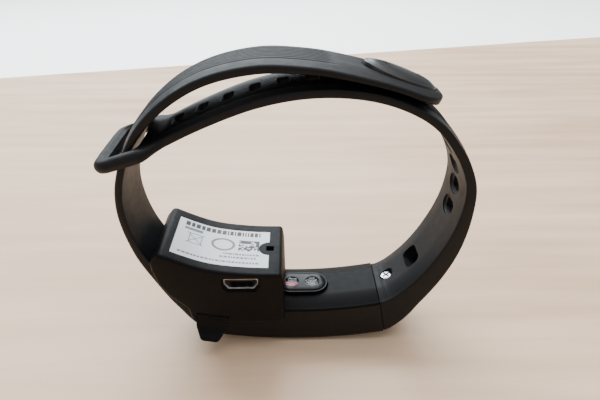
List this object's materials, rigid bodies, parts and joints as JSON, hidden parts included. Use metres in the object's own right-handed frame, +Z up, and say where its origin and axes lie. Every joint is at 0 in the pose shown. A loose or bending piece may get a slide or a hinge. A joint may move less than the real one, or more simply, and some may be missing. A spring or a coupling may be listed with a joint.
{
  "type": "fitness tracker band",
  "caption": "Wrist fitness tracker with a moulded strap looped through its ring and a clip-on charging cradle over the back",
  "frame": {"origin": "centre of the whole object's footprint, at the lowest point of the curved display", "axes": "+X along the loop from the strap's ring side to the strap's far side, +Y across the arm, +Z up from the display through the loop"},
  "size_m": [0.0808, 0.0239, 0.0707],
  "materials": {
    "lens_glass": "polished black glass",
    "display": "dark display panel",
    "housing_black": "fine satin",
    "gasket": "matte",
    "battery_foil": "satin foil",
    "steel": "plain",
    "dark_steel": "blackened",
    "circuit_board": "green solder mask",
    "chip": "moulded package",
    "window_black": "polished",
    "sensor_lens": "clear dome",
    "gold": "gold plated",
    "cover_black": "fine satin",
    "screw_steel": "bright",
    "strap_rubber": "matte moulded elastomer",
    "button_satin": "satin",
    "cradle_black": "fine spark texture",
    "label_white": "printed film",
    "usb_steel": "bright tinned"
  },
  "bodies": {
    "tracker": {"front_lens": "lens_glass", "display_panel": "display", "front_housing": "housing_black", "housing_gasket": "gasket", "battery": "battery_foil", "vibration_motor": "steel", "main_board": "circuit_board", "sensor_board": "circuit_board", "sensor_chips": "chip", "sensor_window": "window_black", "sensor_lenses": "sensor_lens", "charge_contacts": "gold", "rear_cover": "cover_black", "strap_screws": "screw_steel", "ring_strap": "strap_rubber", "stud_strap_base": "strap_rubber"},
    "strap_tail": {"stud_strap_tail": "strap_rubber", "clasp_button": "button_satin", "clasp_stud": "button_satin"},
    "cradle": {"cradle_case": "cradle_black", "cradle_base": "cradle_black", "cradle_label": "label_white", "cradle_board": "circuit_board", "usb_shell": "usb_steel", "usb_tongue": "chip", "pin_barrels": "gold", "pin_spring_front": "steel", "pin_spring_back": "steel", "lever_pin": "dark_steel", "lever_spring": "dark_steel"},
    "front_pin": {"charge_pin_front": "gold"},
    "back_pin": {"charge_pin_back": "gold"},
    "lever": {"release_lever": "cradle_black"}
  },
  "joints": [
    {"name": "strap_tail_lift", "type": "hinge", "parent": "tracker", "child": "strap_tail", "pos_m": [0.006, 0.0014, 0.06875], "axis": [0, -1, 0], "range_deg": [0, 50]},
    {"name": "cradle_lift", "type": "slide", "parent": "tracker", "child": "cradle", "axis": [0.1564, 0, 0.9877], "range_m": [0, 0.016]},
    {"name": "lever_press", "type": "hinge", "parent": "cradle", "child": "lever", "pos_m": [-0.0189, -0.008, 0.0102], "axis": [-0.9816, 0, 0.1908], "range_deg": [0, 12], "stiffness_Nm_per_rad": 0.02},
    {"name": "front_pin_travel", "type": "slide", "parent": "cradle", "child": "front_pin", "axis": [0, 0, 1], "range_m": [0, 0.0006], "stiffness_N_per_m": 40, "deforming": ["pin_spring_front"]},
    {"name": "back_pin_travel", "type": "slide", "parent": "cradle", "child": "back_pin", "axis": [0, 0, 1], "range_m": [0, 0.0006], "stiffness_N_per_m": 40, "deforming": ["pin_spring_back"]}
  ]
}
